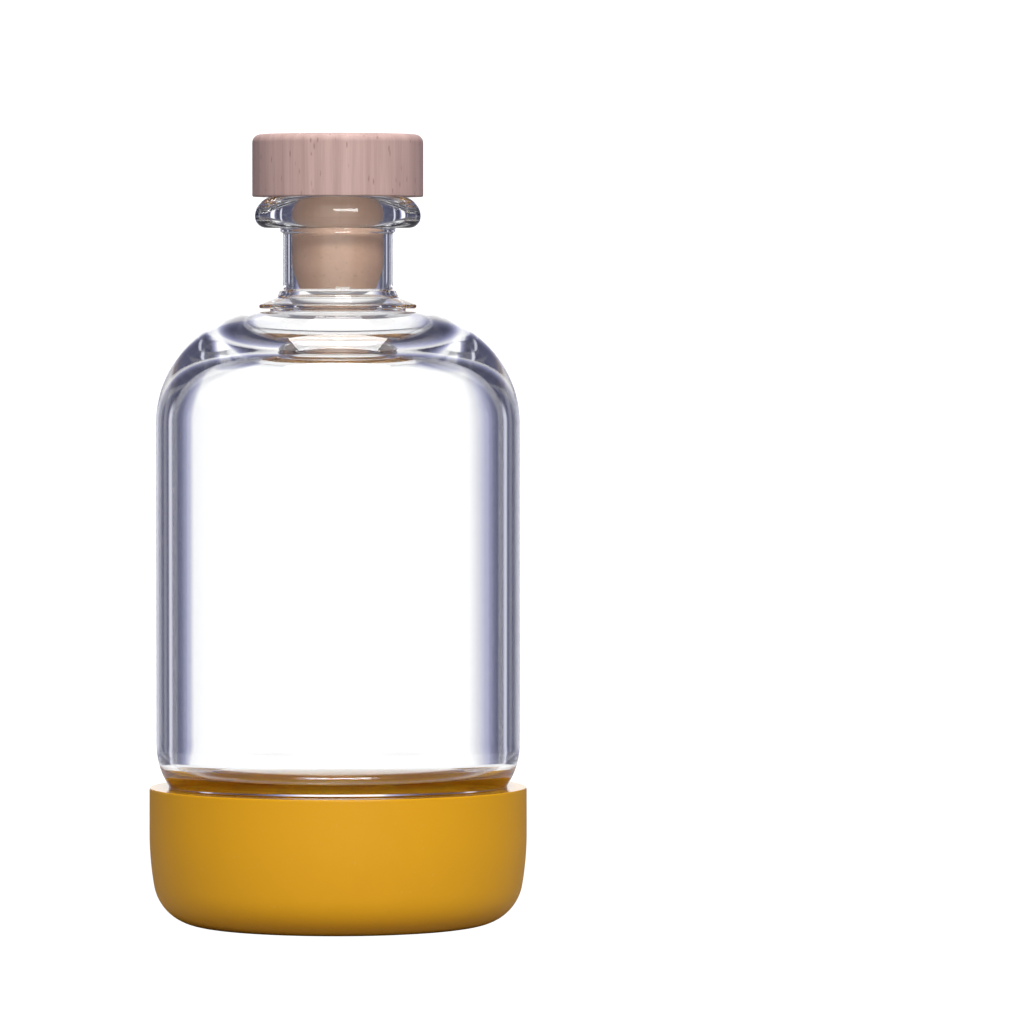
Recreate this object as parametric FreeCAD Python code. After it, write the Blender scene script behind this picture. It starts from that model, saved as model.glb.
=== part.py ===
import FreeCAD, Part
import math
import os

# Stoppered glass bottle standing in a silicone base sleeve.
# Millimetres, +Z up, Z = 0 at the underside of the sleeve; every piece is turned about the Z axis.

# ---- glass body ----
glass_height = 141.5          # underside of the glass to the top of the lip
body_radius = 36.45           # outside of the straight wall
wall = 3.2                    # thickness of the straight wall
neck_length = 22.8            # crown of the shoulder to the top of the lip
shoulder_radius = 22.6        # outside rounding of the shoulder
inner_shoulder = 15.5         # inside rounding of the shoulder
inner_slope = 31.4            # degrees, rise of the inside shoulder towards the neck
shoulder_depth = 6.4          # glass above the inside slope, at its middle
throat_fillet = 9.5           # rounding between the inside slope and the bore

# ---- heavy foot of the glass, stepped in to take the sleeve ----
foot_step = 2.75              # how far the foot is set in from the wall
foot_length = 23.6            # underside of the glass to the step
foot_corner = 3.0
step_slope = 32.0             # degrees off upright, the step's face
step_round = 14.8             # rounding from the wall into the step
step_root = 2.9               # rounding from the step into the foot
floor_crown = 28.7            # glass under the middle of the inside floor
floor_edge = 27.3             # glass under the edge of the raised floor
channel_width = 9.25          # inside wall to the edge of the raised floor
channel_depth = 8.4           # drop from that edge to the sharp corner under the wall
channel_round = 5.0           # rounding of the channel

# ---- neck and lip ----
bore_radius = 9.3
neck_wall = 1.7
lip_overhang = 5.6            # lip beyond the neck
lip_height = 6.3
lip_upper_round = 3.9
lip_lower_round = 2.38
mouth_round = 1.2             # rounding of the mouth edge
ring_overhang = 0.5           # small seam ring under the lip
ring_height = 0.9

# ---- collar at the foot of the neck ----
collar_overhang = 4.75        # collar beyond the neck
groove_overhang = 2.6         # bottom of the groove under the collar, beyond the neck
groove_height = 0.5
collar_edge = 0.8             # height of the collar's edge
collar_rise = 1.4             # rise of its sloping top
root_overhang = 1.15          # where the slope turns up into the neck
seam_overhang = 0.65          # small step above the slope
seam_height = 1.3

# ---- stopper ----
cap_overhang = 0.48           # cap beyond the lip
cap_height = 12.45
cap_top_round = 1.7
cap_bottom_round = 0.3
plug_clearance = 0.1          # between plug and bore
plug_length = 18.1            # below the cap
plug_taper = 1.76             # how far the plug's end draws in
plug_taper_length = 2.95      # height of that taper, before it is rounded
plug_taper_round = 11.0
plug_edge = 0.6

# ---- base sleeve ----
sleeve_wall = 3.95
pad_thickness = 4.0           # silicone under the glass
rim_drop = 0.1                # rim below the step of the glass
sleeve_corner = 9.5           # outside foot corner
sleeve_side_radius = 62.7     # slow inward curve of the side, above the corner
sleeve_side_turn = 9.7        # degrees that the side turns
seat_clearance = 0.1          # between the sleeve's inside and the glass foot
rim_round = 0.3

# ---- heights and radii that several pieces share ----
lip_top = pad_thickness + glass_height
foot_radius = body_radius - foot_step
neck_radius = bore_radius + neck_wall
lip_radius = neck_radius + lip_overhang


def tangent_reach(back, ahead, fillet):
    """Distance from a corner to where its fillet starts."""
    return fillet / math.tan(back.getAngle(ahead) / 2.0)


def rounded_edges(corners):
    """Edges of a closed outline in the XZ plane, from (radius, height, fillet) corners."""
    count = len(corners)
    spans = []
    for i in range(count):
        r, z, fillet = corners[i]
        here = FreeCAD.Vector(r, 0, z)
        if fillet <= 0:
            spans.append((here, None, here))
            continue
        before = corners[i - 1]
        after = corners[(i + 1) % count]
        back = FreeCAD.Vector(before[0], 0, before[1]).sub(here).normalize()
        ahead = FreeCAD.Vector(after[0], 0, after[1]).sub(here).normalize()
        half = back.getAngle(ahead) / 2.0
        reach = tangent_reach(back, ahead, fillet)
        middle = back.add(ahead).normalize()
        crown = here.add(middle * (fillet / math.sin(half) - fillet))
        spans.append((here.add(back * reach), crown, here.add(ahead * reach)))
    edges = []
    for i in range(count):
        start, crown, end = spans[i]
        if crown is not None:
            edges.append(Part.Arc(start, crown, end).toShape())
        following = spans[(i + 1) % count][0]
        if end.distanceToPoint(following) > 1e-6:
            edges.append(Part.LineSegment(end, following).toShape())
    return edges


def turned(edges):
    """Solid of revolution about Z from the edges of a closed outline."""
    face = Part.Face(Part.Wire(edges))
    shape = face.revolve(FreeCAD.Vector(0, 0, 0), FreeCAD.Vector(0, 0, 1), 360)
    solid = shape.Solids[0] if shape.Solids else Part.Solid(shape.Shells[0])
    if solid.Volume < 0:
        solid.reverse()
    return solid


def glass_outside():
    """Corners of the outside, from the middle of the underside up to the lip."""
    crown = lip_top - neck_length
    slope = math.radians(step_slope)
    step_low = pad_thickness + foot_length
    step_high = step_low + foot_step / math.tan(slope)
    face_length = foot_step / math.sin(slope)
    root = min(step_root, 0.16 * face_length / math.tan(slope / 2.0))
    brow = min(step_round, 0.82 * face_length / math.tan(slope / 2.0))
    groove = neck_radius + groove_overhang
    shoulder = min(shoulder_radius, body_radius - groove - 0.2)
    collar_under = crown + groove_height
    collar_top = collar_under + collar_edge
    collar_root = collar_top + collar_rise
    seam_top = collar_root + seam_height
    lip_under = lip_top - lip_height
    ring_under = lip_under - ring_height
    upper = min(lip_upper_round, 0.62 * lip_height)
    lower = min(lip_lower_round, lip_height - upper - 0.02)
    return [
        (0, pad_thickness, 0),
        (foot_radius, pad_thickness, foot_corner),
        (foot_radius, step_low, root),
        (body_radius, step_high, brow),
        (body_radius, crown, shoulder),
        (groove, crown, 0.15),
        (groove, collar_under, 0.15),
        (neck_radius + collar_overhang, collar_under, 0.3),
        (neck_radius + collar_overhang, collar_top, 0.4),
        (neck_radius + root_overhang, collar_root, 1.5),
        (neck_radius + seam_overhang, seam_top, 0.25),
        (neck_radius, seam_top + 0.3, 0.25),
        (neck_radius, ring_under - 0.1, 0.3),
        (neck_radius + ring_overhang, ring_under + 0.15, 0.15),
        (neck_radius + ring_overhang, lip_under, 0.4),
        (lip_radius, lip_under, lower),
        (lip_radius, lip_top, upper),
    ]


def glass_inside():
    """Corners of the inside, from the mouth down to the middle of the floor."""
    inner = body_radius - wall
    middle = (inner + bore_radius) / 2.0
    rise = math.tan(math.radians(inner_slope))
    slope_middle = lip_top - neck_length - shoulder_depth
    edge_height = pad_thickness + floor_edge
    return [
        (bore_radius, lip_top, mouth_round),
        (bore_radius, slope_middle + (middle - bore_radius) * rise, throat_fillet),
        (inner, slope_middle - (inner - middle) * rise, inner_shoulder),
        (inner, edge_height - channel_depth, channel_round),
        (inner - channel_width, edge_height, channel_round),
        (0, pad_thickness + floor_crown, 0),
    ]


def glass():
    return turned(rounded_edges(glass_outside() + glass_inside()))


def cap():
    radius = lip_radius + cap_overhang
    return turned(rounded_edges([
        (0, lip_top, 0),
        (radius, lip_top, cap_bottom_round),
        (radius, lip_top + cap_height, cap_top_round),
        (0, lip_top + cap_height, 0),
    ]))


def plug():
    radius = bore_radius - plug_clearance
    end = lip_top - plug_length
    return turned(rounded_edges([
        (0, end, 0),
        (radius - plug_taper, end, plug_edge),
        (radius, end + plug_taper_length, plug_taper_round),
        (radius, lip_top, 0),
        (0, lip_top, 0),
    ]))


def on_arc(centre_r, centre_z, radius, angle):
    """Point of an arc in the XZ plane, its angle measured downwards from level."""
    return FreeCAD.Vector(centre_r + radius * math.cos(angle), 0, centre_z - radius * math.sin(angle))


def sleeve():
    """A cup: its side is straight, then curves slowly inward, then turns the foot corner."""
    inside = foot_radius + seat_clearance
    radius = inside + sleeve_wall
    height = pad_thickness + foot_length - rim_drop
    turn = math.radians(sleeve_side_turn)
    down = math.pi / 2.0
    side_r = radius - sleeve_side_radius
    corner_r = side_r + (sleeve_side_radius - sleeve_corner) * math.cos(turn)
    side_z = sleeve_corner + (sleeve_side_radius - sleeve_corner) * math.sin(turn)
    foot_end = on_arc(corner_r, sleeve_corner, sleeve_corner, down)
    foot_mid = on_arc(corner_r, sleeve_corner, sleeve_corner, (turn + down) / 2.0)
    side_end = on_arc(side_r, side_z, sleeve_side_radius, turn)
    side_mid = on_arc(side_r, side_z, sleeve_side_radius, turn / 2.0)
    side_start = FreeCAD.Vector(radius, 0, side_z)
    rim_start = FreeCAD.Vector(radius, 0, height - rim_round)
    rim_mid = on_arc(radius - rim_round, height - rim_round, rim_round, -down / 2.0)
    rim_end = FreeCAD.Vector(radius - rim_round, 0, height)
    cup_mid = on_arc(inside - foot_corner, pad_thickness + foot_corner, foot_corner, down / 2.0)
    cup_start = FreeCAD.Vector(inside, 0, pad_thickness + foot_corner)
    cup_end = FreeCAD.Vector(inside - foot_corner, 0, pad_thickness)
    cup_rim = FreeCAD.Vector(inside, 0, height)
    cup_centre = FreeCAD.Vector(0, 0, pad_thickness)
    foot_centre = FreeCAD.Vector(0, 0, 0)
    curves = [
        Part.LineSegment(foot_centre, foot_end),
        Part.Arc(foot_end, foot_mid, side_end),
        Part.Arc(side_end, side_mid, side_start),
        Part.LineSegment(side_start, rim_start),
        Part.Arc(rim_start, rim_mid, rim_end),
        Part.LineSegment(rim_end, cup_rim),
        Part.LineSegment(cup_rim, cup_start),
        Part.Arc(cup_start, cup_mid, cup_end),
        Part.LineSegment(cup_end, cup_centre),
        Part.LineSegment(cup_centre, foot_centre),
    ]
    return turned([curve.toShape() for curve in curves])


NODES = {
    "bottle_glass": glass,
    "stopper_cap": cap,
    "stopper_plug": plug,
    "base_sleeve": sleeve,
}

os.makedirs("parts", exist_ok=True)
for name, make in NODES.items():
    node = make()
    if not node.isValid():
        raise RuntimeError("invalid solid: " + name)
    node.exportStep("parts/" + name + ".step")
    box = node.optimalBoundingBox()
    print(name, round(node.Volume), [round(v, 2) for v in (box.XLength, box.YLength, box.ZMin, box.ZMax)])
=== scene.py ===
import math

import bmesh
import bpy
import numpy as np
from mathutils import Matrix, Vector


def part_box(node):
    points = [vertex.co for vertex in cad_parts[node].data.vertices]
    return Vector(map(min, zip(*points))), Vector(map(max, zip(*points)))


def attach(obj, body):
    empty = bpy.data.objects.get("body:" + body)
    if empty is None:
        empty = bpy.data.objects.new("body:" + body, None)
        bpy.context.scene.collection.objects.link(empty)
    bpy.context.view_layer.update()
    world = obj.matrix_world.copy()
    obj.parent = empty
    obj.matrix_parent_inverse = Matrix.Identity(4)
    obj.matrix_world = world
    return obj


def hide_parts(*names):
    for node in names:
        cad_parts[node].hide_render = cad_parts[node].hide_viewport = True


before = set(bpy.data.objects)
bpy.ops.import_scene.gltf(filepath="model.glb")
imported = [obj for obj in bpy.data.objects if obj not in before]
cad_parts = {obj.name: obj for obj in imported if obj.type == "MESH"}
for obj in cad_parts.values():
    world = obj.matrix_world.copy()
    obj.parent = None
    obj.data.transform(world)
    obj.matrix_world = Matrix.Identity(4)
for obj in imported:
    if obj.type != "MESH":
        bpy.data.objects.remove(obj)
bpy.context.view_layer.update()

bl_info = {
    "name": "Stoppered glass bottle",
    "version": (1, 0, 0),
    "blender": (4, 5, 0),
    "location": "3D View > Sidebar > Bottle",
    "description": "A glass bottle with a beech and cork stopper and a silicone base sleeve",
    "category": "Add Mesh",
}

MM = 0.001
GLASS_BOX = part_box("bottle_glass")
CAP_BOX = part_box("stopper_cap")
PLUG_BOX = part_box("stopper_plug")
SLEEVE_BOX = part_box("base_sleeve")

# How finely the turned pieces are divided, and what counts as lying on the axis.
ON_AXIS = 1e-7
AROUND = 360
GLASS_AROUND = 200
TABLE_AROUND = 96
TABLE_RINGS = 14
TABLE_MIDDLE = 0.05
SLEEVE_CORNER_POINTS = 22
SLEEVE_SIDE_POINTS = 12
BEND_STEP = math.radians(4.0)
ARC_STEP = 0.5 * MM
SHARP_EDGE = math.radians(35.0)

# Round the glass neck and lip: heights and reaches that go together.
COLLAR_RISE = 0.5 * MM
COLLAR_THICK = 0.8 * MM
COLLAR_FOOT_REACH = 2.6 * MM
COLLAR_REACH = 4.75 * MM
NECK_ROOT_RISE = 1.4 * MM
NECK_ROOT_REACH = 1.15 * MM
NECK_SEAM_REACH = 0.65 * MM
RING_DROP = 0.9 * MM
RING_REACH = 0.5 * MM
UNDERCUT_ANGLE = math.radians(58.0)

# Roundings of the glass, from its foot up to its mouth and down to its inside floor.
FOOT_ROUNDING = 3.0 * MM
STEP_ROUNDING = 2.9 * MM
UNDERCUT_ROUNDING = 14.8 * MM
NECK_ROOT_ROUNDING = 1.5 * MM
LIP_UNDER_ROUNDING = 2.38 * MM
LIP_TOP_ROUNDING = 3.9 * MM
MOUTH_ROUNDING = 1.2 * MM
CHANNEL_ROUNDING = 5.0 * MM

# Rounding above the plug's taper.
PLUG_SHOULDER = 11.0 * MM

# Between the sleeve and the foot of the glass.
SLEEVE_EASE = 0.1 * MM
CUP_LEAD_IN = 0.9 * MM
CUP_LEAD_ROUNDING = 0.6 * MM
CUP_CORNER = 3.0 * MM

# The two tiny bubbles in the wall: place, radius and how far each is drawn out upwards.
BUBBLES = (
    (Vector((-30.4, -17.2, 98.5)) * MM, 0.22 * MM, 1.3),
    (Vector((-30.5, -17.0, 97.6)) * MM, 0.16 * MM, 1.2),
)

# The wood's growth rings: their middle, how far they wander, and their pace in radians per metre.
PITH = (0.031, -0.052)
RING_DRIFT = 0.004
RING_TURNS = 2400.0

# Height of the fine relief in each finish.
WOOD_RELIEF = 0.03 * MM
CORK_RELIEF = 0.03 * MM
SILICONE_RELIEF = 0.02 * MM

# Where the silicone changes: its lower edge darkened with painted shade, its cup brightened with
# painted light, and the land of its rim.
LOW_SHADE_EDGE = (-2.0 * MM, 6.5 * MM)
CUP_FLOOR = (3.0 * MM, 3.5 * MM)
CUP_BLEND = 0.1 * MM
LAND_DEPTH = 0.5 * MM
LAND_BLEND = 0.1 * MM

# Keeps a place's distance from the upright axis and drops its height.
LEVEL = (1.0, 1.0, 0.0)

# Colours that are not in the sidebar.
CORK_PIT = (0.36, 0.22, 0.14)
DUST = (0.80, 0.62, 0.30)
WHITE = (1.0, 1.0, 1.0)
CLOTH_DARK = (0.42, 0.42, 0.42)
CLOTH_PALE = (0.46, 0.46, 0.46)
BELOW_TABLE = (0.20, 0.20, 0.23)
FLAG = (0.07, 0.07, 0.11)

# Brightness of the studio walls by degrees turned from straight behind the bottle.
WALLS_LEFT = (
    (155.0, 0.90), (140.0, 0.32), (110.0, 0.12), (43.5, 0.08), (41.5, 0.75),
    (37.8, 0.90), (35.5, 0.15), (31.0, 0.07), (22.0, 0.07), (18.5, 0.12),
    (15.3, 0.22), (12.9, 0.40), (11.2, 0.66), (9.8, 1.25),
)
WALLS_RIGHT = (
    (7.0, 1.25), (8.6, 0.95), (10.1, 0.72), (11.4, 0.54), (12.9, 0.37),
    (15.3, 0.22), (18.7, 0.10), (22.0, 0.06), (31.0, 0.07), (35.5, 0.15),
    (37.8, 0.85), (41.5, 0.70), (43.5, 0.08), (110.0, 0.12), (140.0, 0.24),
    (155.0, 0.90),
)

# How the darker walls lean in colour: warm in front of the bottle, cool beside and behind it.
WARM_FROM = 120.0
WARM_SHIFT = (0.22, -0.07, -0.18)
COOL_SHIFT = (-0.03, 0.0, 0.60)
COOL_SPAN = 0.75

# The bright strips at 38 to 42 degrees: their two edges in degrees turned, and how steeply up
# they end. The walls end below the table top, as steeply down as WALL_FOOT says.
STRIP_INNER = (32.4, 34.9)
STRIP_OUTER = (44.1, 46.24)
STRIP_TOP = (0.05, 0.28)
WALL_FOOT = (-0.174, -0.122)

# The softboxes: place, point aimed at, width and depth.
OVERHEAD = ((0.0, 0.07, 1.1), (0.0, 0.0, 0.0), 0.60, 0.36)
KEY = ((0.207, -0.973, 0.77), (0.0, 0.0, 0.10), 0.64, 0.32)

# The camera's sensor width in millimetres, and how near and far it sees in metres.
SENSOR_WIDTH = 36.0
NEAR_AND_FAR = (0.05, 20.0)

# Enough light bounces for the thick glass to stay clear.
BOUNCES = 40


def length(label, about, default):
    """A size in metres that shows in the sidebar."""
    return bpy.props.FloatProperty(
        name=label, description=about, default=default, min=0.0, precision=5,
        subtype="DISTANCE", unit="LENGTH",
    )


def angle(label, about, default):
    """An angle that shows in the sidebar."""
    return bpy.props.FloatProperty(
        name=label, description=about, default=math.radians(default),
        subtype="ANGLE", unit="ROTATION",
    )


def tint(label, about, default):
    """A colour that shows in the sidebar."""
    return bpy.props.FloatVectorProperty(
        name=label, description=about, default=default, min=0.0, max=1.0,
        size=3, subtype="COLOR",
    )


def amount(label, about, default):
    """A plain number that shows in the sidebar."""
    return bpy.props.FloatProperty(name=label, description=about, default=default, min=0.0)


class GlassSizes(bpy.types.PropertyGroup):
    """Sizes of the glass bottle."""

    body_radius: length("Body radius", "Outside radius of the round body", 36.45 * MM)
    wall: length("Wall", "Thickness of the body wall", 3.2 * MM)
    shoulder: length("Shoulder rounding", "Rounding from the body into the crown", 22.6 * MM)
    inner_shoulder: length("Inner shoulder rounding", "Rounding inside the shoulder", 15.5 * MM)
    inner_slope: angle("Inner slope", "Rise of the inside of the shoulder to the neck", 31.4)
    crown_depth: length("Crown depth", "Glass above the middle of that slope", 6.4 * MM)
    throat: length("Throat rounding", "Rounding where the inside runs up into the bore", 9.5 * MM)
    bore: length("Bore radius", "Inside radius of the neck", 9.3 * MM)
    neck_wall: length("Neck wall", "Thickness of the neck wall", 1.7 * MM)
    neck_height: length("Neck height", "From the crown of the shoulder to the mouth", 22.8 * MM)
    lip_overhang: length("Lip overhang", "How far the lip stands out from the neck", 5.6 * MM)
    lip_height: length("Lip height", "Height of the lip bead", 6.3 * MM)
    foot_step: length("Foot step", "How far the foot steps in from the body", 2.75 * MM)
    foot_height: length("Foot height", "Height of the stepped-in foot", 23.6 * MM)
    floor_edge: length("Floor edge", "Height of the inside floor's edge above the foot", 27.3 * MM)
    floor_crown: length("Floor crown", "Height of its middle above the foot", 28.7 * MM)
    channel_depth: length("Channel depth", "Depth of the channel round that floor", 8.4 * MM)
    channel_width: length("Channel width", "Width of that channel", 9.25 * MM)
    tint: tint("Glass colour", "Faint tint of the clear glass", (0.985, 0.992, 0.996))
    ripple: length("Ripple", "Height of the faint waves in the surface", 0.004 * MM)


class StopperSizes(bpy.types.PropertyGroup):
    """Sizes and colours of the stopper."""

    cap_rounding: length("Cap rounding", "Rounding of the upper edge of the wooden cap", 1.7 * MM)
    cap_underside: length("Underside rounding", "Rounding of the lower edge of the cap", 0.3 * MM)
    plug_taper: length("Plug taper", "How far the lower end of the plug draws in", 1.76 * MM)
    plug_taper_height: length("Taper height", "Height of that taper unrounded", 2.95 * MM)
    plug_edge: length("Plug edge", "Rounding of the plug's bottom edge", 0.6 * MM)
    wood_pale: tint("Pale wood", "Early wood of the beech", (0.615, 0.43, 0.39))
    wood_dark: tint("Dark wood", "Late wood and grain lines", (0.415, 0.27, 0.245))
    fleck: tint("Fleck", "Short ray flecks of the beech", (0.27, 0.16, 0.14))
    cork_pale: tint("Pale cork", "Ground of the pressed cork", (0.95, 0.645, 0.47))
    cork_dark: tint("Dark cork", "Grains in the pressed cork", (0.85, 0.545, 0.375))


class SleeveSizes(bpy.types.PropertyGroup):
    """Sizes and colours of the silicone sleeve."""

    wall: length("Sleeve wall", "Thickness of the silicone wall", 3.95 * MM)
    pad: length("Pad", "Thickness of silicone under the glass", 4.0 * MM)
    corner: length("Lower corner", "Rounding of the lower outside edge", 9.5 * MM)
    side_radius: length("Side curve", "Radius of the slow curve above the corner", 62.7 * MM)
    side_turn: angle("Side turn", "How far that slow curve leans", 9.7)
    rim_rounding: length("Rim rounding", "Rounding of the rim's two edges", 0.3 * MM)
    bed: length("Bed", "How far the silicone beds itself on to the glass", 0.02 * MM)
    silicone: tint("Silicone", "Mustard silicone", (0.72, 0.352, 0.006))
    # Painted light: the inside of the cup is coloured brighter than the silicone to stand in for
    # light that reaches it through the glass.
    cup_painted_light: tint("Inside the cup", "Silicone brightened with painted light", (0.96, 0.54, 0.010))
    cup_wet: tint("Wetted patches", "Where the cup clings to the glass", (0.76, 0.33, 0.008))
    # Painted shade: this darker colour stands in for the shade low on the sleeve near the table,
    # and also gives the silicone its darker mottling.
    silicone_shade_and_mottle: tint("Shade and mottle", "Painted shade low down and darker mottling", (0.60, 0.262, 0.009))


class StageSizes(bpy.types.PropertyGroup):
    """Floor, lights and camera."""

    floor_radius: length("Floor radius", "Radius of the pale table top", 0.38)
    floor_fade: length("Floor fade", "Width over which its edge fades out", 0.14)
    glow: amount("Table glow", "Brightness of the lit table top", 1.08)
    overhead: amount("Overhead", "Power of the softbox overhead in watts", 7.5)
    key: amount("Key", "Power of the softbox above and right of the lens in watts", 8.6)
    surround: amount("Surround", "Strength of the light from the walls of the studio", 1.0)
    eye_height: length("Eye height", "Height of the lens above the table", 124.85 * MM)
    eye_distance: length("Eye distance", "From the lens to the bottle's middle line", 1404.0 * MM)
    lens: amount("Lens", "Focal length in millimetres on a 36 mm wide sensor", 246.86)
    pan: angle("Pan", "How far the lens points to the right of the bottle", 1.42)
    tilt: angle("Tilt", "How far the lens points down", 1.727)


class BottleSettings(bpy.types.PropertyGroup):
    """Everything that can be changed on the bottle and its stage."""

    glass: bpy.props.PointerProperty(
        type=GlassSizes, name="Glass", description="The glass bottle",
    )
    stopper: bpy.props.PointerProperty(
        type=StopperSizes, name="Stopper", description="Cap and plug",
    )
    sleeve: bpy.props.PointerProperty(
        type=SleeveSizes, name="Sleeve", description="The base sleeve",
    )
    stage: bpy.props.PointerProperty(
        type=StageSizes, name="Stage", description="Floor, lights and camera",
    )


class Shade:
    """One socket of a finish, on which plain arithmetic adds Math nodes."""

    def __init__(self, finish, socket):
        self.finish = finish
        self.socket = socket

    def _math(self, operation, first, second=0.0, clamp=False):
        settings = {"operation": operation, "use_clamp": clamp}
        return self.finish.node("ShaderNodeMath", settings, {0: first, 1: second})

    def __add__(self, other):
        return self._math("ADD", self, other)

    def __radd__(self, other):
        return self._math("ADD", other, self)

    def __sub__(self, other):
        return self._math("SUBTRACT", self, other)

    def __rsub__(self, other):
        return self._math("SUBTRACT", other, self)

    def __mul__(self, other):
        return self._math("MULTIPLY", self, other)

    def __rmul__(self, other):
        return self._math("MULTIPLY", other, self)

    def held(self):
        """The same value kept between 0 and 1."""
        return self._math("ADD", self, 0.0, clamp=True)

    def over(self, low, high):
        """0 below low, 1 above high and a soft ramp between."""
        return self.finish.node(
            "ShaderNodeMapRange", {"interpolation_type": "SMOOTHSTEP", "clamp": True},
            {"Value": self, "From Min": low, "From Max": high, "To Min": 0.0, "To Max": 1.0},
        )

    def angle_to(self, other):
        """The angle whose tangent is this value over the other, in radians."""
        return self._math("ARCTAN2", self, other)


class Finish:
    """The nodes of one material or of the surround."""

    def __init__(self, owner):
        owner.use_nodes = True
        self.owner = owner
        self.tree = owner.node_tree
        self.tree.nodes.clear()

    def node(self, kind, settings=None, sockets=None, output=0):
        """Adds a node: its settings first, then the values or links of its sockets."""
        node = self.tree.nodes.new(kind)
        for name, value in (settings or {}).items():
            if name == "stops":
                self.set_stops(node.color_ramp, value)
            else:
                setattr(node, name, value)
        for name, value in (sockets or {}).items():
            if isinstance(value, Shade):
                self.tree.links.new(value.socket, node.inputs[name])
            else:
                node.inputs[name].default_value = value
        return Shade(self, node.outputs[output]) if len(node.outputs) else None

    def set_stops(self, ramp, stops):
        """Fills a ramp with (place, colour) stops."""
        while len(ramp.elements) > 1:
            ramp.elements.remove(ramp.elements[-1])
        ramp.elements[0].position = stops[0][0]
        ramp.elements[0].color = (*stops[0][1], 1.0)
        for place, colour in stops[1:]:
            stop = ramp.elements.new(place)
            stop.color = (*colour, 1.0)

    def place(self, scale):
        """Where a point lies on the piece, in metres times a scale on each axis."""
        spot = self.node("ShaderNodeTexCoord", output="Object")
        return self.node("ShaderNodeVectorMath", {"operation": "MULTIPLY"}, {0: spot, 1: scale})

    def parts(self, spot):
        """The three parts of a vector, each by itself."""
        split = self.node("ShaderNodeSeparateXYZ", {}, {0: spot})
        return [Shade(self, socket) for socket in split.socket.node.outputs]

    def distance(self, spot):
        """How long a vector is."""
        settings = {"operation": "LENGTH"}
        return self.node("ShaderNodeVectorMath", settings, {0: spot}, output="Value")

    def mix(self, factor, first, second):
        """The second colour laid over the first, as far as the factor says."""
        first = first if isinstance(first, Shade) else (*first, 1.0)
        second = second if isinstance(second, Shade) else (*second, 1.0)
        settings = {"data_type": "RGBA", "clamp_factor": True}
        return self.node("ShaderNodeMix", settings, {0: factor, 6: first, 7: second}, output=2)

    def noise(self, scale, detail, roughness=0.5):
        """Soft noise from 0 to 1, its scale in waves per metre on each axis."""
        spot = self.place(scale)
        sockets = {"Vector": spot, "Scale": 1.0, "Detail": detail, "Roughness": roughness}
        return self.node("ShaderNodeTexNoise", {}, sockets)

    def cells(self, scale, output=0):
        """Scattered cells, their scale in cells per metre on each axis."""
        sockets = {"Vector": self.place(scale), "Scale": 1.0, "Randomness": 1.0}
        return self.node("ShaderNodeTexVoronoi", {"feature": "F1"}, sockets, output)

    def bump(self, height, distance):
        """A bumped normal from a height."""
        sockets = {"Height": height, "Distance": distance, "Strength": 1.0}
        return self.node("ShaderNodeBump", {}, sockets)

    def surface(self, **sockets):
        """The finished surface, its socket names written with underscores."""
        named = {name.replace("_", " "): value for name, value in sockets.items()}
        shader = self.node("ShaderNodeBsdfPrincipled", {}, named)
        self.node("ShaderNodeOutputMaterial", {}, {"Surface": shader})
        return self.owner


def new_finish(name):
    """An empty finish of that name."""
    return Finish(bpy.data.materials.new(name))


def clear_glass(size):
    """Clear pressed glass with a faint ripple and a few dull touches."""
    glass = new_finish("clear glass")
    wave = glass.noise((90.0, 90.0, 30.0), detail=1.0)
    touch = glass.noise((60.0, 60.0, 60.0), detail=3.0).over(0.55, 0.8)
    streak = glass.noise((24.0, 24.0, 9.0), detail=1.0)
    return glass.surface(
        Base_Color=glass.mix(streak, size.tint, WHITE),
        Roughness=touch * 0.012,
        IOR=1.5,
        Transmission_Weight=1.0,
        Normal=glass.bump(wave, size.ripple),
    )


def beech(size):
    """Turned beech, its grain upright, with short ray flecks."""
    wood = new_finish("turned beech")
    drift = wood.noise((55.0, 55.0, 14.0), detail=2.0)
    side, depth, _ = wood.parts(wood.node("ShaderNodeTexCoord", output="Object"))
    from_pith = {0: side - PITH[0], 1: depth - PITH[1], 2: 0.0}
    far = wood.distance(wood.node("ShaderNodeCombineXYZ", {}, from_pith)) + drift * RING_DRIFT
    ring = wood.node("ShaderNodeMath", {"operation": "SINE"}, {0: far * RING_TURNS}) * 0.5 + 0.5
    line = wood.noise((2300.0, 2300.0, 70.0), detail=3.0, roughness=0.6)
    broad = wood.noise((420.0, 420.0, 16.0), detail=2.0)
    wide = wood.noise((150.0, 150.0, 9.0), detail=2.0)
    sparse = wood.noise((700.0, 700.0, 200.0), detail=0.0).over(0.46, 0.58)
    fleck = (1.0 - wood.cells((1150.0, 1150.0, 330.0)).over(0.10, 0.30)) * sparse
    fine_share = line.over(0.30, 0.72) * 0.28
    broad_share = broad.over(0.3, 0.7) * 0.30
    wide_share = wide.over(0.3, 0.65) * 0.22
    grain = (fine_share + broad_share + wide_share + ring * 0.20).held()
    colour = wood.mix(grain, size.wood_dark, size.wood_pale)
    return wood.surface(
        Base_Color=wood.mix(fleck * 0.55, colour, size.fleck),
        Roughness=(0.62 - line * 0.12 + fleck * 0.1).held(),
        Specular_IOR_Level=0.35,
        Normal=wood.bump(line * 0.6 + grain * 0.2 - fleck * 0.8, WOOD_RELIEF),
    )


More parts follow.
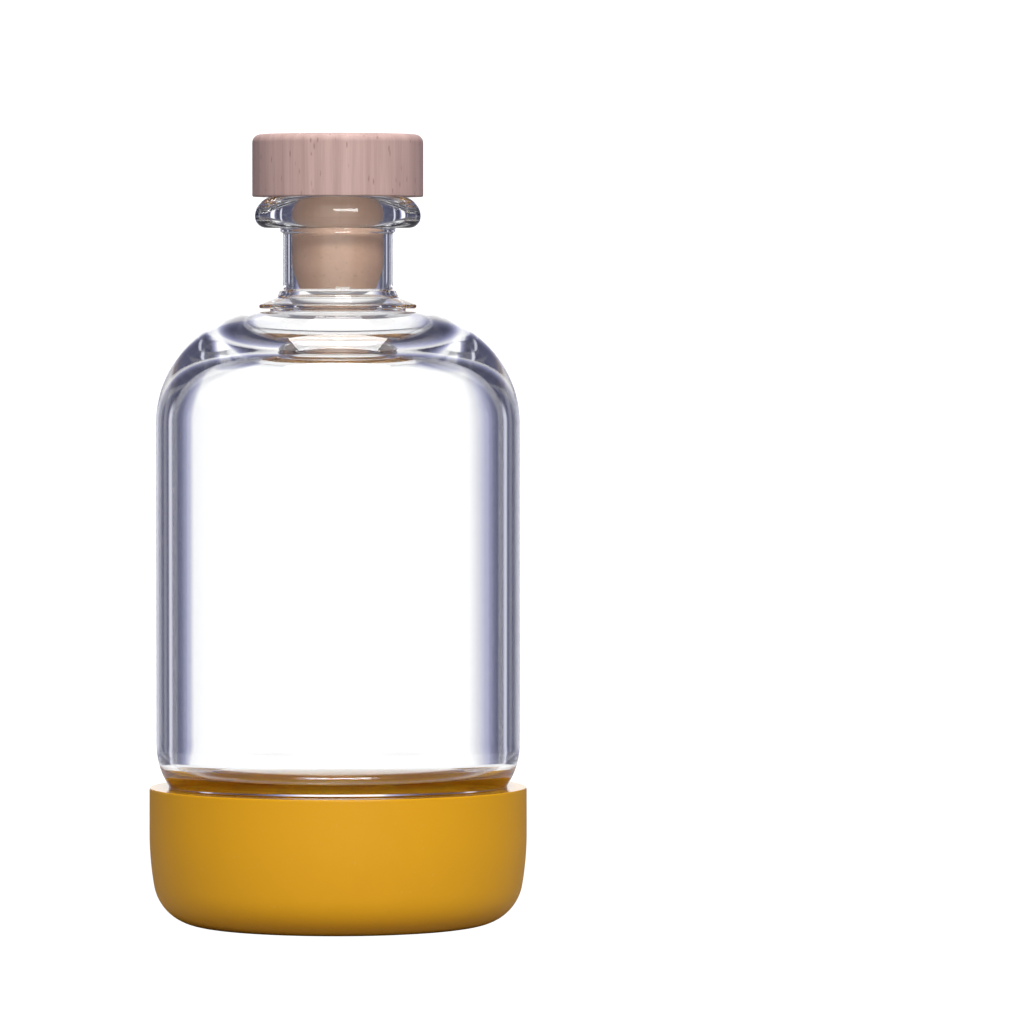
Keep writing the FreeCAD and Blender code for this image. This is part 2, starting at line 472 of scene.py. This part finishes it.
def pressed_cork(size):
    """Smooth pressed cork: fine grains under a polished skin."""
    cork = new_finish("pressed cork")
    cell = cork.cells((1500.0, 1500.0, 1500.0), output="Color")
    grain = cork.node("ShaderNodeSeparateColor", {}, {0: cell})
    cloud = cork.noise((260.0, 260.0, 320.0), detail=3.0)
    lathe = cork.noise((20.0, 20.0, 2600.0), detail=2.0)
    mottle = (grain * 0.30 + cloud.over(0.25, 0.75) * 0.45 + lathe * 0.25).held()
    pit = cork.noise((1400.0, 1400.0, 1400.0), detail=0.0).over(0.70, 0.80)
    colour = cork.mix(mottle, size.cork_dark, size.cork_pale)
    return cork.surface(
        Base_Color=cork.mix(pit * 0.18, colour, CORK_PIT),
        Roughness=(0.58 + cloud * 0.14).held(),
        Specular_IOR_Level=0.4,
        Normal=cork.bump(mottle * 0.5 - pit, CORK_RELIEF),
    )


def silicone(size, rim_height, cup_radius):
    """Matte mustard silicone with painted shade low down and darker mottling, smooth on its rim,
    and brightened with painted light and wetted patches inside its cup.
    """
    rubber = new_finish("mustard silicone")
    height = rubber.parts(rubber.node("ShaderNodeTexCoord", output="Object"))[2]
    # Painted shade: the silicone is darkened towards its bottom edge to stand in for the shade near
    # the table; the cloud adds darker mottling of its own.
    low = 1.0 - height.over(*LOW_SHADE_EDGE)
    cloud = rubber.noise((70.0, 70.0, 45.0), detail=3.0)
    fine = rubber.noise((2600.0, 2600.0, 2600.0), detail=1.0)
    dust = rubber.noise((1100.0, 1100.0, 1100.0), detail=2.0).over(0.68, 0.76)
    shade_and_mottle = (low * 0.85 + cloud.over(0.45, 0.8) * 0.12).held()
    colour = rubber.mix(shade_and_mottle, size.silicone, size.silicone_shade_and_mottle)
    colour = rubber.mix(dust * 0.10, colour, DUST)
    far = rubber.distance(rubber.place(LEVEL))
    # Painted light: inside the cup the silicone is brightened to stand in for light reaching it
    # through the glass, with wetted patches near its own colour.
    cup = (1.0 - far.over(cup_radius, cup_radius + CUP_BLEND)) * height.over(*CUP_FLOOR)
    wet = rubber.noise((75.0, 75.0, 300.0), detail=3.0, roughness=0.6).over(0.36, 0.64)
    cup_light_and_wet = rubber.mix(wet, size.cup_painted_light, size.cup_wet)
    land = height.over(rim_height - LAND_DEPTH, rim_height - LAND_BLEND)
    rough = 0.50 + cloud * 0.08 + dust * 0.15
    return rubber.surface(
        Base_Color=rubber.mix(cup, colour, cup_light_and_wet),
        Roughness=(rough * (1.0 - land) + land * 0.12).held(),
        Specular_IOR_Level=0.25,
        Normal=rubber.bump((fine * 0.6 + cloud) * (1.0 - land), SILICONE_RELIEF),
    )


def rounded(corners):
    """A line of points from (radius, height, rounding) corners, with those corners rounded."""
    line = []
    for number, (radius, height, rounding) in enumerate(corners):
        corner = np.array((radius, height))
        if rounding <= 0.0 or number in (0, len(corners) - 1):
            line.append((radius, height))
            continue
        back = np.array(corners[number - 1][:2]) - corner
        ahead = np.array(corners[number + 1][:2]) - corner
        back /= np.linalg.norm(back)
        ahead /= np.linalg.norm(ahead)
        opening = math.acos(float(np.clip(back @ ahead, -1.0, 1.0)))
        inward = (back + ahead) / np.linalg.norm(back + ahead)
        middle = corner + inward * rounding / math.sin(opening / 2)
        start = corner + back * rounding / math.tan(opening / 2) - middle
        end = corner + ahead * rounding / math.tan(opening / 2) - middle
        turn = math.pi - opening
        side = 1.0 if start[0] * end[1] - start[1] * end[0] > 0.0 else -1.0
        count = max(4, math.ceil(turn / BEND_STEP), math.ceil(turn * rounding / ARC_STEP))
        for step in range(count + 1):
            bend = side * turn * step / count
            across = start[0] * math.cos(bend) - start[1] * math.sin(bend)
            up = start[0] * math.sin(bend) + start[1] * math.cos(bend)
            line.append((float(middle[0] + across), float(middle[1] + up)))
    return line


def arc(middle, radius, first, last, count):
    """Points on an arc, its angles in degrees from straight out."""
    turns = np.radians(np.linspace(first, last, count))
    return [(middle[0] + radius * math.cos(t), middle[1] + radius * math.sin(t)) for t in turns]


def ring_of(mesh, radius, height, around):
    """A ring of corners about the upright axis, or one corner on the axis itself."""
    if radius < ON_AXIS:
        return [mesh.verts.new((0.0, 0.0, height))]
    turns = [2.0 * math.pi * step / around for step in range(around)]
    return [mesh.verts.new((radius * math.cos(t), radius * math.sin(t), height)) for t in turns]


def join_rings(mesh, lower, upper, around):
    """Faces between two rings, where either may be one corner on the axis."""
    if len(lower) == 1 and len(upper) == 1:
        return
    for step in range(around):
        following = (step + 1) % around
        if len(lower) == 1:
            mesh.faces.new((lower[0], upper[following], upper[step]))
        elif len(upper) == 1:
            mesh.faces.new((lower[step], lower[following], upper[0]))
        else:
            mesh.faces.new((lower[step], lower[following], upper[following], upper[step]))


def placed(name, mesh):
    """The object that a finished mesh makes."""
    data = bpy.data.meshes.new(name)
    mesh.to_mesh(data)
    mesh.free()
    piece = bpy.data.objects.new(name, data)
    bpy.context.scene.collection.objects.link(piece)
    return piece


def turned(name, line, around=AROUND, hollows=()):
    """A closed solid turned about the upright axis from a line of (radius, height) points."""
    mesh = bmesh.new()
    rings = [ring_of(mesh, radius, height, around) for radius, height in line]
    for lower, upper in zip(rings, rings[1:] + rings[:1]):
        join_rings(mesh, lower, upper, around)
    bmesh.ops.recalc_face_normals(mesh, faces=mesh.faces)
    for place, radius, stretch in hollows:
        made = bmesh.ops.create_icosphere(mesh, subdivisions=3, radius=radius)
        bmesh.ops.scale(mesh, vec=(1.0, 1.0, stretch), verts=made["verts"])
        bmesh.ops.translate(mesh, vec=place, verts=made["verts"])
        skin = {face for vert in made["verts"] for face in vert.link_faces}
        bmesh.ops.reverse_faces(mesh, faces=list(skin))
    piece = placed(name, mesh)
    for face in piece.data.polygons:
        face.use_smooth = True
    piece.data.set_sharp_from_angle(angle=SHARP_EDGE)
    return piece


def finished(piece, material, node):
    """Gives a piece its finish, hangs it under the root body and hides the CAD node it stands for.
    """
    piece.data.materials.append(material)
    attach(piece, "root")
    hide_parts(node)


def glass_line(size):
    """The outline of the glass, up the outside from the foot and down the inside to its floor.

    Each corner is (radius, height, rounding).
    """
    foot, mouth = GLASS_BOX[0][2], GLASS_BOX[1][2]
    body, foot_radius = size.body_radius, size.body_radius - size.foot_step
    neck = size.bore + size.neck_wall
    lip = neck + size.lip_overhang
    crown = mouth - size.neck_height
    collar = crown + COLLAR_RISE
    collar_top = collar + COLLAR_THICK
    root = collar_top + NECK_ROOT_RISE
    lip_foot = mouth - size.lip_height
    ring = lip_foot - RING_DROP
    step = foot + size.foot_height
    outside = [
        (0.0, foot, 0.0),
        (foot_radius, foot, FOOT_ROUNDING),
        (foot_radius, step, STEP_ROUNDING),
        (body, step + size.foot_step * math.tan(UNDERCUT_ANGLE), UNDERCUT_ROUNDING),
        (body, crown, size.shoulder),
        (neck + COLLAR_FOOT_REACH, crown, 0.15 * MM),
        (neck + COLLAR_FOOT_REACH, collar, 0.15 * MM),
        (neck + COLLAR_REACH, collar, 0.3 * MM),
        (neck + COLLAR_REACH, collar_top, 0.4 * MM),
        (neck + NECK_ROOT_REACH, root, NECK_ROOT_ROUNDING),
        (neck + NECK_SEAM_REACH, root + 1.3 * MM, 0.25 * MM),
        (neck, root + 1.6 * MM, 0.25 * MM),
        (neck, ring - 0.1 * MM, 0.3 * MM),
        (neck + RING_REACH, ring + 0.15 * MM, 0.15 * MM),
        (neck + RING_REACH, lip_foot, 0.4 * MM),
        (lip, lip_foot, LIP_UNDER_ROUNDING),
        (lip, mouth, LIP_TOP_ROUNDING),
    ]
    inner = body - size.wall
    slope = math.tan(size.inner_slope)
    half_way = (inner + size.bore) / 2
    shoulder = crown - size.crown_depth
    channel = inner - size.channel_width
    edge = foot + size.floor_edge
    inside = [
        (size.bore, mouth, MOUTH_ROUNDING),
        (size.bore, shoulder + (half_way - size.bore) * slope, size.throat),
        (inner, shoulder - (inner - half_way) * slope, size.inner_shoulder),
        (inner, edge - size.channel_depth, CHANNEL_ROUNDING),
        (channel, edge, CHANNEL_ROUNDING),
        (0.0, foot + size.floor_crown, 0.0),
    ]
    return rounded(outside + inside)


def sleeve_line(size, foot_radius):
    """The outline of the sleeve, up its outside and down into its cup."""
    floor, rim = SLEEVE_BOX[0][2], SLEEVE_BOX[1][2]
    outer = foot_radius + SLEEVE_EASE + size.wall
    turn = math.degrees(size.side_turn)
    reach = size.side_radius - size.corner
    side_middle = outer - size.side_radius
    corner_height = floor + size.corner
    lean_height = corner_height + reach * math.sin(size.side_turn)
    corner = (side_middle + reach * math.cos(size.side_turn), corner_height)
    side = (side_middle, lean_height)
    line = [(0.0, floor)]
    line += arc(corner, size.corner, -90.0, -turn, SLEEVE_CORNER_POINTS)
    line += arc(side, size.side_radius, -turn, 0.0, SLEEVE_SIDE_POINTS)[1:]
    seat = floor + size.pad + size.bed
    cup = foot_radius - size.bed
    line += rounded([
        (outer, lean_height, 0.0),
        (outer, rim, size.rim_rounding),
        (foot_radius + SLEEVE_EASE, rim, size.rim_rounding),
        (cup, rim - CUP_LEAD_IN, CUP_LEAD_ROUNDING),
        (cup, seat, CUP_CORNER),
        (0.0, seat, 0.0),
    ])[1:]
    return line


class BOTTLE_OT_glass(bpy.types.Operator):
    """Makes the glass bottle with its heavy foot, collar and lip"""

    bl_idname = "bottle.glass"
    bl_label = "Glass Bottle"

    def execute(self, context):
        size = context.scene.bottle.glass
        piece = turned("glass_bottle", glass_line(size), around=GLASS_AROUND, hollows=BUBBLES)
        finished(piece, clear_glass(size), "bottle_glass")
        return {"FINISHED"}


class BOTTLE_OT_cap(bpy.types.Operator):
    """Makes the turned beech cap of the stopper"""

    bl_idname = "bottle.cap"
    bl_label = "Wooden Cap"

    def execute(self, context):
        size = context.scene.bottle.stopper
        low, high, radius = CAP_BOX[0][2], CAP_BOX[1][2], CAP_BOX[1][0]
        line = rounded([
            (0.0, low, 0.0),
            (radius, low, size.cap_underside),
            (radius, high, size.cap_rounding),
            (0.0, high, 0.0),
        ])
        finished(turned("wooden_cap", line), beech(size), "stopper_cap")
        return {"FINISHED"}


class BOTTLE_OT_plug(bpy.types.Operator):
    """Makes the cork plug under the cap"""

    bl_idname = "bottle.plug"
    bl_label = "Cork Plug"

    def execute(self, context):
        size = context.scene.bottle.stopper
        low, high, radius = PLUG_BOX[0][2], PLUG_BOX[1][2], PLUG_BOX[1][0]
        line = rounded([
            (0.0, low, 0.0),
            (radius - size.plug_taper, low, size.plug_edge),
            (radius, low + size.plug_taper_height, PLUG_SHOULDER),
            (radius, high, 0.0),
            (0.0, high, 0.0),
        ])
        finished(turned("cork_plug", line), pressed_cork(size), "stopper_plug")
        return {"FINISHED"}


class BOTTLE_OT_sleeve(bpy.types.Operator):
    """Makes the silicone sleeve round the foot"""

    bl_idname = "bottle.sleeve"
    bl_label = "Silicone Sleeve"

    def execute(self, context):
        size = context.scene.bottle.sleeve
        glass = context.scene.bottle.glass
        foot_radius = glass.body_radius - glass.foot_step
        finish = silicone(size, SLEEVE_BOX[1][2], foot_radius)
        piece = turned("silicone_sleeve", sleeve_line(size, foot_radius))
        finished(piece, finish, "base_sleeve")
        return {"FINISHED"}


def softbox(name, place, aim, wide, shade_and_mottle, power):
    """A flat studio light."""
    light = bpy.data.lights.new(name, "AREA")
    light.shape = "RECTANGLE"
    light.size = wide
    light.size_y = shade_and_mottle
    light.energy = power
    lamp = bpy.data.objects.new(name, light)
    lamp.location = place
    lamp.rotation_mode = "QUATERNION"
    lamp.rotation_quaternion = (Vector(aim) - Vector(place)).to_track_quat("-Z", "Y")
    bpy.context.scene.collection.objects.link(lamp)


def wall_colour(turned_by, level):
    """The walls' brightness as a colour: warm in front of the bottle, cool in the dark flags."""
    if turned_by > WARM_FROM:
        lean, shift = 1.0 - level, WARM_SHIFT
    else:
        lean, shift = max(0.0, min(1.0, (1.0 - level) / COOL_SPAN)), COOL_SHIFT
    return tuple(level * (1.0 + part * lean) for part in shift)


def studio_walls(strength):
    """The surround: a bright panel behind the bottle between dark flags, pale walls in front."""
    world = bpy.data.worlds.new("studio walls")
    bpy.context.scene.world = world
    walls = Finish(world)
    across, ahead, rise = walls.parts(walls.node("ShaderNodeTexCoord", output="Generated"))
    turn = across.angle_to(ahead) * (0.5 / math.pi) + 0.5
    stops = [(0.5 - place / 360.0, wall_colour(place, level)) for place, level in WALLS_LEFT]
    stops += [(0.5 + place / 360.0, wall_colour(place, level)) for place, level in WALLS_RIGHT]
    ramp = walls.node("ShaderNodeValToRGB", {"stops": stops}, {"Fac": turn})
    off = (turn - 0.5) * (turn - 0.5)
    inner = [(place / 360.0) ** 2 for place in STRIP_INNER]
    outer = [(place / 360.0) ** 2 for place in STRIP_OUTER]
    over_strip = off.over(*inner) * (1.0 - off.over(*outer)) * rise.over(*STRIP_TOP)
    tone = walls.mix(1.0 - rise.over(*WALL_FOOT), ramp, BELOW_TABLE)
    tone = walls.mix(over_strip, tone, FLAG)
    light = walls.node("ShaderNodeBackground", {}, {"Color": tone, "Strength": strength})
    walls.node("ShaderNodeOutputWorld", {}, {"Surface": light})


def table_finish(size):
    """Grey cloth that shows as lit white to the lens and through the glass, fading at its edge."""
    pale = new_finish("pale table")
    far = pale.distance(pale.place(LEVEL))
    fade = 1.0 - far.over(size.floor_radius - size.floor_fade, size.floor_radius)
    tone = pale.noise((30.0, 30.0, 30.0), detail=2.0)
    cloth = pale.node("ShaderNodeBsdfPrincipled", {}, {
        "Base Color": pale.mix(tone, CLOTH_DARK, CLOTH_PALE),
        "Roughness": 0.9 + tone * 0.05,
        "Specular IOR Level": 0.2,
    })
    glow = pale.node("ShaderNodeEmission", {}, {"Color": (*WHITE, 1.0), "Strength": size.glow})
    seen = pale.node("ShaderNodeLightPath", output="Is Camera Ray")
    through = pale.node("ShaderNodeLightPath", output="Is Transmission Ray")
    lit = pale.node("ShaderNodeMixShader", {}, {0: (seen + through).held(), 1: cloth, 2: glow})
    clear = pale.node("ShaderNodeBsdfTransparent")
    top = pale.node("ShaderNodeMixShader", {}, {0: fade, 1: clear, 2: lit})
    pale.node("ShaderNodeOutputMaterial", {}, {"Surface": top})
    return pale.owner


def table_top(size):
    """A round pale table top whose edge fades away."""
    mesh = bmesh.new()
    radii = [0.0, *np.linspace(TABLE_MIDDLE, size.floor_radius, TABLE_RINGS)]
    rings = [ring_of(mesh, radius, 0.0, TABLE_AROUND) for radius in radii]
    for inner, outer in zip(rings, rings[1:]):
        join_rings(mesh, outer, inner, TABLE_AROUND)
    floor = placed("table_top", mesh)
    floor.data.materials.append(table_finish(size))


class BOTTLE_OT_stage(bpy.types.Operator):
    """Makes the table top, the studio lights and the camera"""

    bl_idname = "bottle.stage"
    bl_label = "Stage"

    def execute(self, context):
        size = context.scene.bottle.stage
        table_top(size)
        studio_walls(size.surround)
        softbox("overhead softbox", *OVERHEAD, size.overhead)
        softbox("key softbox", *KEY, size.key)
        lens = bpy.data.cameras.new("camera")
        lens.sensor_width = SENSOR_WIDTH
        lens.lens = size.lens
        lens.clip_start, lens.clip_end = NEAR_AND_FAR
        camera = bpy.data.objects.new("camera", lens)
        camera.location = (0.0, -size.eye_distance, size.eye_height)
        aim = Vector((
            math.sin(size.pan) * math.cos(size.tilt),
            math.cos(size.pan) * math.cos(size.tilt),
            -math.sin(size.tilt),
        ))
        camera.rotation_mode = "QUATERNION"
        camera.rotation_quaternion = aim.to_track_quat("-Z", "Y")
        context.scene.collection.objects.link(camera)
        context.scene.camera = camera
        context.scene.view_settings.view_transform = "Standard"
        context.scene.cycles.max_bounces = BOUNCES
        context.scene.cycles.transmission_bounces = BOUNCES
        context.scene.cycles.glossy_bounces = BOUNCES
        return {"FINISHED"}


class BOTTLE_PT_panel(bpy.types.Panel):
    """Lists the pieces of the bottle and their sizes"""

    bl_idname = "BOTTLE_PT_panel"
    bl_label = "Stoppered Bottle"
    bl_space_type = "VIEW_3D"
    bl_region_type = "UI"
    bl_category = "Bottle"

    def draw(self, context):
        settings = context.scene.bottle
        for operator, group in PIECES:
            box = self.layout.box()
            box.operator(operator)
            sizes = getattr(settings, group)
            for name in type(sizes).__annotations__:
                box.prop(sizes, name)


PIECES = (
    ("bottle.glass", "glass"),
    ("bottle.cap", "stopper"),
    ("bottle.plug", "stopper"),
    ("bottle.sleeve", "sleeve"),
    ("bottle.stage", "stage"),
)

CLASSES = (
    GlassSizes,
    StopperSizes,
    SleeveSizes,
    StageSizes,
    BottleSettings,
    BOTTLE_OT_glass,
    BOTTLE_OT_cap,
    BOTTLE_OT_plug,
    BOTTLE_OT_sleeve,
    BOTTLE_OT_stage,
    BOTTLE_PT_panel,
)


def register():
    """Adds the classes and the bottle's settings."""
    for kind in CLASSES:
        bpy.utils.register_class(kind)
    bpy.types.Scene.bottle = bpy.props.PointerProperty(
        type=BottleSettings, name="Bottle", description="Sizes and colours of the bottle",
    )


def unregister():
    """Takes them away again."""
    del bpy.types.Scene.bottle
    for kind in reversed(CLASSES):
        bpy.utils.unregister_class(kind)


def main():
    """Makes the pieces and the stage."""
    register()
    bpy.ops.bottle.glass()
    bpy.ops.bottle.cap()
    bpy.ops.bottle.plug()
    bpy.ops.bottle.sleeve()
    bpy.ops.bottle.stage()


if __name__ == "__main__":
    main()
